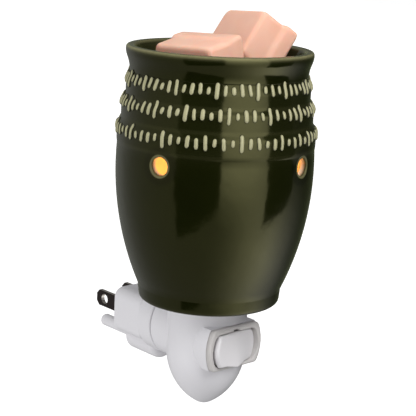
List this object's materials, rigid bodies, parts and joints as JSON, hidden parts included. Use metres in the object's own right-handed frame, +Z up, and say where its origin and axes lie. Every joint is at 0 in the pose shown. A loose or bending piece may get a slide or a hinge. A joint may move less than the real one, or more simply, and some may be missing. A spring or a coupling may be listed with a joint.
{
  "type": "wax melt warmer",
  "caption": "Plug-in wax melt warmer: barrel-shaped glazed shade with a wax dish and lamp vents, on a white swivelling plug base with a rocker switch and a lamp.",
  "frame": {"origin": "centre of the plug's wall face, midway between the two flat blades", "axes": "+Y into the wall along the blades, +Z up, +X to the right as seen from the room"},
  "size_m": [0.0728, 0.0989, 0.1444],
  "materials": {
    "white_plastic": "glossy",
    "switch_plastic": "glossy",
    "holder_plastic": "matte",
    "lead_cover": "satin",
    "plug_brass": "satin",
    "lamp_brass": "satin",
    "spring_steel": "satin",
    "screw_steel": "satin",
    "lamp_nickel": "satin",
    "lamp_solder": "matte",
    "filament_wire": "matte",
    "lamp_insulator": "glossy",
    "lamp_glass": "clear",
    "green_glaze": "glossy",
    "dash_slip": "glossy",
    "peach_wax": "satin"
  },
  "bodies": {
    "plug": {"plug_head": "white_plastic", "plug_face": "white_plastic", "hot_blade": "plug_brass", "neutral_blade": "plug_brass", "swivel_clip": "spring_steel", "plug_leads": "lead_cover"},
    "base": {"rear_housing": "white_plastic", "front_housing": "white_plastic", "housing_screw": "screw_steel", "seat_ring": "white_plastic", "lamp_holder": "holder_plastic", "holder_shell": "lamp_brass", "holder_contact": "lamp_brass", "switch_frame": "switch_plastic", "switch_terminals": "lamp_brass", "neutral_lead": "lead_cover", "hot_lead": "lead_cover", "switch_lead": "lead_cover"},
    "rocker": {"switch_rocker": "switch_plastic", "rocker_contact": "lamp_brass"},
    "bulb": {"lamp_tip": "lamp_solder", "lamp_insulator": "lamp_insulator", "lamp_base": "lamp_nickel", "lamp_glass": "lamp_glass", "lamp_stem": "lamp_glass", "lamp_filament": "filament_wire"},
    "shade": {"ceramic_shade": "green_glaze", "slip_dashes": "dash_slip"},
    "wax_front": {"wax_melt_front": "peach_wax"},
    "wax_back": {"wax_melt_back": "peach_wax"}
  },
  "joints": [
    {"name": "plug_swivel", "type": "hinge", "parent": "plug", "child": "base", "pos_m": [0, 0, 0], "axis": [0, 1, 0], "range_deg": [-90, 90]},
    {"name": "switch_rock", "type": "hinge", "parent": "base", "child": "rocker", "pos_m": [0, -0.0568, -0.0013], "axis": [0, 0, 1], "range_deg": [-16, 0]},
    {"name": "lamp_turn", "type": "hinge", "parent": "base", "child": "bulb", "pos_m": [0, -0.042, 0.02], "axis": [0, 0, 1], "range_deg": [0, 1080]},
    {"name": "shade_lift", "type": "slide", "parent": "base", "child": "shade", "axis": [0, 0, 1], "range_m": [0, 0.055]},
    {"name": "front_melt_lift", "type": "slide", "parent": "shade", "child": "wax_front", "axis": [0, 0, 1], "range_m": [0, 0.03]},
    {"name": "back_melt_lift", "type": "slide", "parent": "shade", "child": "wax_back", "axis": [0, 0, 1], "range_m": [0, 0.03]}
  ]
}
